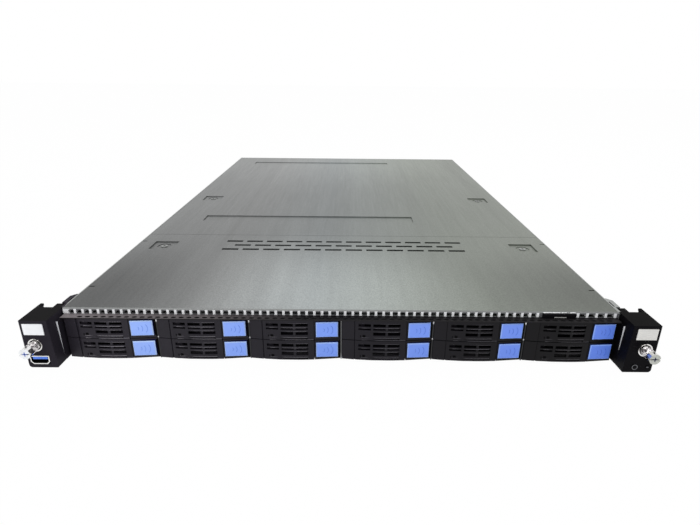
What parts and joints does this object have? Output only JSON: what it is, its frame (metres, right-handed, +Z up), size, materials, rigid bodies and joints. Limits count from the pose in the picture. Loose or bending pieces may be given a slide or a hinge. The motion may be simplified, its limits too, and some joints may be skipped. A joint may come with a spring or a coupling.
{
  "type": "rack server",
  "caption": "Flat rack-mount server with hot-swap drive trays, blue release tabs, thumbscrew ears, fixed front top panel and removable rear cover.",
  "frame": {"origin": "middle of the base, on the underside of the floor sheet, below the centre of the bounding box", "axes": "+X across the rack to the right seen from the front, +Y from the front to the rear, +Z up"},
  "size_m": [0.4826, 0.7536, 0.0436],
  "materials": {
    "zinc": "galvanised steel sheet",
    "cage_steel": "black coated sheet",
    "pcb": "green board",
    "black_carrier": "black coated carrier with drive",
    "black_plastic": "satin moulded",
    "blue_tab": "moulded blue",
    "steel_screw": "nickel plated",
    "white_badge": "blank plate",
    "usb_metal": "plated shell, blue tongue",
    "fan_plastic": "black moulded",
    "heatsink": "extruded fins",
    "memory": "circuit modules",
    "psu_case": "metal case"
  },
  "bodies": {
    "chassis": {"chassis_base": "zinc", "front_top_panel": "zinc", "drive_cage": "cage_steel", "drive_backplane": "pcb", "left_ear": "black_plastic", "right_ear": "black_plastic", "ear_badges": "white_badge", "usb_port": "usb_metal", "fan_housings": "fan_plastic", "motherboard": "pcb", "cpu_heatsinks": "heatsink", "memory_modules": "memory"},
    "top_cover": {"rear_top_cover": "zinc"},
    "screw_left": {"thumbscrew_left": "steel_screw"},
    "screw_right": {"thumbscrew_right": "steel_screw"},
    "power": {"power_button": "black_plastic"},
    "ident": {"id_button": "black_plastic"},
    "tag": {"info_tag": "black_plastic"},
    "supply_1": {"psu_1": "psu_case"},
    "supply_2": {"psu_2": "psu_case"},
    "tray_02": {"drive_tray_02": "black_carrier"},
    "lever_02": {"tray_lever_02": "black_plastic"},
    "latch_02": {"tray_latch_02": "blue_tab"},
    "tray_01": {"drive_tray_01": "black_carrier"},
    "lever_01": {"tray_lever_01": "black_plastic"},
    "latch_01": {"tray_latch_01": "blue_tab"},
    "tray_04": {"drive_tray_04": "black_carrier"},
    "lever_04": {"tray_lever_04": "black_plastic"},
    "latch_04": {"tray_latch_04": "blue_tab"},
    "tray_03": {"drive_tray_03": "black_carrier"},
    "lever_03": {"tray_lever_03": "black_plastic"},
    "latch_03": {"tray_latch_03": "blue_tab"},
    "tray_06": {"drive_tray_06": "black_carrier"},
    "lever_06": {"tray_lever_06": "black_plastic"},
    "latch_06": {"tray_latch_06": "blue_tab"},
    "tray_05": {"drive_tray_05": "black_carrier"},
    "lever_05": {"tray_lever_05": "black_plastic"},
    "latch_05": {"tray_latch_05": "blue_tab"},
    "tray_08": {"drive_tray_08": "black_carrier"},
    "lever_08": {"tray_lever_08": "black_plastic"},
    "latch_08": {"tray_latch_08": "blue_tab"},
    "tray_07": {"drive_tray_07": "black_carrier"},
    "lever_07": {"tray_lever_07": "black_plastic"},
    "latch_07": {"tray_latch_07": "blue_tab"},
    "tray_10": {"drive_tray_10": "black_carrier"},
    "lever_10": {"tray_lever_10": "black_plastic"},
    "latch_10": {"tray_latch_10": "blue_tab"},
    "tray_09": {"drive_tray_09": "black_carrier"},
    "lever_09": {"tray_lever_09": "black_plastic"},
    "latch_09": {"tray_latch_09": "blue_tab"},
    "tray_12": {"drive_tray_12": "black_carrier"},
    "lever_12": {"tray_lever_12": "black_plastic"},
    "latch_12": {"tray_latch_12": "blue_tab"},
    "tray_11": {"drive_tray_11": "black_carrier"},
    "lever_11": {"tray_lever_11": "black_plastic"},
    "latch_11": {"tray_latch_11": "blue_tab"},
    "rotor_1": {"fan_rotor_1": "fan_plastic"},
    "rotor_2": {"fan_rotor_2": "fan_plastic"},
    "rotor_3": {"fan_rotor_3": "fan_plastic"},
    "rotor_4": {"fan_rotor_4": "fan_plastic"}
  },
  "joints": [
    {"name": "tray_01_slide", "type": "slide", "parent": "chassis", "child": "tray_01", "axis": [0, -1, 0], "range_m": [0, 0.11]},
    {"name": "lever_01_hinge", "type": "hinge", "parent": "tray_01", "child": "lever_01", "pos_m": [-0.2051, -0.3438, 0.0288], "axis": [0, 0, -1], "range_deg": [0, 50]},
    {"name": "latch_01_press", "type": "slide", "parent": "tray_01", "child": "latch_01", "axis": [0, 1, 0], "range_m": [0, 0.002], "stiffness_N_per_m": 600},
    {"name": "tray_02_slide", "type": "slide", "parent": "chassis", "child": "tray_02", "axis": [0, -1, 0], "range_m": [0, 0.11]},
    {"name": "lever_02_hinge", "type": "hinge", "parent": "tray_02", "child": "lever_02", "pos_m": [-0.2051, -0.3438, 0.0107], "axis": [0, 0, -1], "range_deg": [0, 50]},
    {"name": "latch_02_press", "type": "slide", "parent": "tray_02", "child": "latch_02", "axis": [0, 1, 0], "range_m": [0, 0.002], "stiffness_N_per_m": 600},
    {"name": "tray_03_slide", "type": "slide", "parent": "chassis", "child": "tray_03", "axis": [0, -1, 0], "range_m": [0, 0.11]},
    {"name": "lever_03_hinge", "type": "hinge", "parent": "tray_03", "child": "lever_03", "pos_m": [-0.1324, -0.3438, 0.0288], "axis": [0, 0, -1], "range_deg": [0, 50]},
    {"name": "latch_03_press", "type": "slide", "parent": "tray_03", "child": "latch_03", "axis": [0, 1, 0], "range_m": [0, 0.002], "stiffness_N_per_m": 600},
    {"name": "tray_04_slide", "type": "slide", "parent": "chassis", "child": "tray_04", "axis": [0, -1, 0], "range_m": [0, 0.11]},
    {"name": "lever_04_hinge", "type": "hinge", "parent": "tray_04", "child": "lever_04", "pos_m": [-0.1324, -0.3438, 0.0107], "axis": [0, 0, -1], "range_deg": [0, 50]},
    {"name": "latch_04_press", "type": "slide", "parent": "tray_04", "child": "latch_04", "axis": [0, 1, 0], "range_m": [0, 0.002], "stiffness_N_per_m": 600},
    {"name": "tray_05_slide", "type": "slide", "parent": "chassis", "child": "tray_05", "axis": [0, -1, 0], "range_m": [0, 0.11]},
    {"name": "lever_05_hinge", "type": "hinge", "parent": "tray_05", "child": "lever_05", "pos_m": [-0.0597, -0.3438, 0.0288], "axis": [0, 0, -1], "range_deg": [0, 50]},
    {"name": "latch_05_press", "type": "slide", "parent": "tray_05", "child": "latch_05", "axis": [0, 1, 0], "range_m": [0, 0.002], "stiffness_N_per_m": 600},
    {"name": "tray_06_slide", "type": "slide", "parent": "chassis", "child": "tray_06", "axis": [0, -1, 0], "range_m": [0, 0.11]},
    {"name": "lever_06_hinge", "type": "hinge", "parent": "tray_06", "child": "lever_06", "pos_m": [-0.0597, -0.3438, 0.0107], "axis": [0, 0, -1], "range_deg": [0, 50]},
    {"name": "latch_06_press", "type": "slide", "parent": "tray_06", "child": "latch_06", "axis": [0, 1, 0], "range_m": [0, 0.002], "stiffness_N_per_m": 600},
    {"name": "tray_07_slide", "type": "slide", "parent": "chassis", "child": "tray_07", "axis": [0, -1, 0], "range_m": [0, 0.11]},
    {"name": "lever_07_hinge", "type": "hinge", "parent": "tray_07", "child": "lever_07", "pos_m": [0.013, -0.3438, 0.0288], "axis": [0, 0, -1], "range_deg": [0, 50]},
    {"name": "latch_07_press", "type": "slide", "parent": "tray_07", "child": "latch_07", "axis": [0, 1, 0], "range_m": [0, 0.002], "stiffness_N_per_m": 600},
    {"name": "tray_08_slide", "type": "slide", "parent": "chassis", "child": "tray_08", "axis": [0, -1, 0], "range_m": [0, 0.11]},
    {"name": "lever_08_hinge", "type": "hinge", "parent": "tray_08", "child": "lever_08", "pos_m": [0.013, -0.3438, 0.0107], "axis": [0, 0, -1], "range_deg": [0, 50]},
    {"name": "latch_08_press", "type": "slide", "parent": "tray_08", "child": "latch_08", "axis": [0, 1, 0], "range_m": [0, 0.002], "stiffness_N_per_m": 600},
    {"name": "tray_09_slide", "type": "slide", "parent": "chassis", "child": "tray_09", "axis": [0, -1, 0], "range_m": [0, 0.11]},
    {"name": "lever_09_hinge", "type": "hinge", "parent": "tray_09", "child": "lever_09", "pos_m": [0.0857, -0.3438, 0.0288], "axis": [0, 0, -1], "range_deg": [0, 50]},
    {"name": "latch_09_press", "type": "slide", "parent": "tray_09", "child": "latch_09", "axis": [0, 1, 0], "range_m": [0, 0.002], "stiffness_N_per_m": 600},
    {"name": "tray_10_slide", "type": "slide", "parent": "chassis", "child": "tray_10", "axis": [0, -1, 0], "range_m": [0, 0.11]},
    {"name": "lever_10_hinge", "type": "hinge", "parent": "tray_10", "child": "lever_10", "pos_m": [0.0857, -0.3438, 0.0107], "axis": [0, 0, -1], "range_deg": [0, 50]},
    {"name": "latch_10_press", "type": "slide", "parent": "tray_10", "child": "latch_10", "axis": [0, 1, 0], "range_m": [0, 0.002], "stiffness_N_per_m": 600},
    {"name": "tray_11_slide", "type": "slide", "parent": "chassis", "child": "tray_11", "axis": [0, -1, 0], "range_m": [0, 0.11]},
    {"name": "lever_11_hinge", "type": "hinge", "parent": "tray_11", "child": "lever_11", "pos_m": [0.1584, -0.3438, 0.0288], "axis": [0, 0, -1], "range_deg": [0, 50]},
    {"name": "latch_11_press", "type": "slide", "parent": "tray_11", "child": "latch_11", "axis": [0, 1, 0], "range_m": [0, 0.002], "stiffness_N_per_m": 600},
    {"name": "tray_12_slide", "type": "slide", "parent": "chassis", "child": "tray_12", "axis": [0, -1, 0], "range_m": [0, 0.11]},
    {"name": "lever_12_hinge", "type": "hinge", "parent": "tray_12", "child": "lever_12", "pos_m": [0.1584, -0.3438, 0.0107], "axis": [0, 0, -1], "range_deg": [0, 50]},
    {"name": "latch_12_press", "type": "slide", "parent": "tray_12", "child": "latch_12", "axis": [0, 1, 0], "range_m": [0, 0.002], "stiffness_N_per_m": 600},
    {"name": "cover_slide", "type": "slide", "parent": "chassis", "child": "top_cover", "axis": [0, 1, 0], "range_m": [0, 0.012]},
    {"name": "screw_left_turn", "type": "hinge", "parent": "chassis", "child": "screw_left", "pos_m": [-0.23255, -0.3662, 0.0222], "axis": [0, 1, 0], "range_deg": [0, 1800]},
    {"name": "screw_right_turn", "type": "hinge", "parent": "chassis", "child": "screw_right", "pos_m": [0.23255, -0.3662, 0.0222], "axis": [0, 1, 0], "range_deg": [0, 1800]},
    {"name": "power_press", "type": "slide", "parent": "chassis", "child": "power", "axis": [0, 1, 0], "range_m": [0, 0.0006], "stiffness_N_per_m": 500},
    {"name": "ident_press", "type": "slide", "parent": "chassis", "child": "ident", "axis": [0, 1, 0], "range_m": [0, 0.0004], "stiffness_N_per_m": 500},
    {"name": "tag_slide", "type": "slide", "parent": "chassis", "child": "tag", "axis": [0, -1, 0], "range_m": [0, 0.04]},
    {"name": "supply_1_slide", "type": "slide", "parent": "chassis", "child": "supply_1", "axis": [0, 1, 0], "range_m": [0, 0.15]},
    {"name": "supply_2_slide", "type": "slide", "parent": "chassis", "child": "supply_2", "axis": [0, 1, 0], "range_m": [0, 0.15]},
    {"name": "rotor_1_spin", "type": "hinge", "parent": "chassis", "child": "rotor_1", "pos_m": [-0.156, -0.1292, 0.0213], "axis": [0, 1, 0], "continuous": true},
    {"name": "rotor_2_spin", "type": "hinge", "parent": "chassis", "child": "rotor_2", "pos_m": [-0.052, -0.1292, 0.0213], "axis": [0, 1, 0], "continuous": true},
    {"name": "rotor_3_spin", "type": "hinge", "parent": "chassis", "child": "rotor_3", "pos_m": [0.052, -0.1292, 0.0213], "axis": [0, 1, 0], "continuous": true},
    {"name": "rotor_4_spin", "type": "hinge", "parent": "chassis", "child": "rotor_4", "pos_m": [0.156, -0.1292, 0.0213], "axis": [0, 1, 0], "continuous": true}
  ]
}
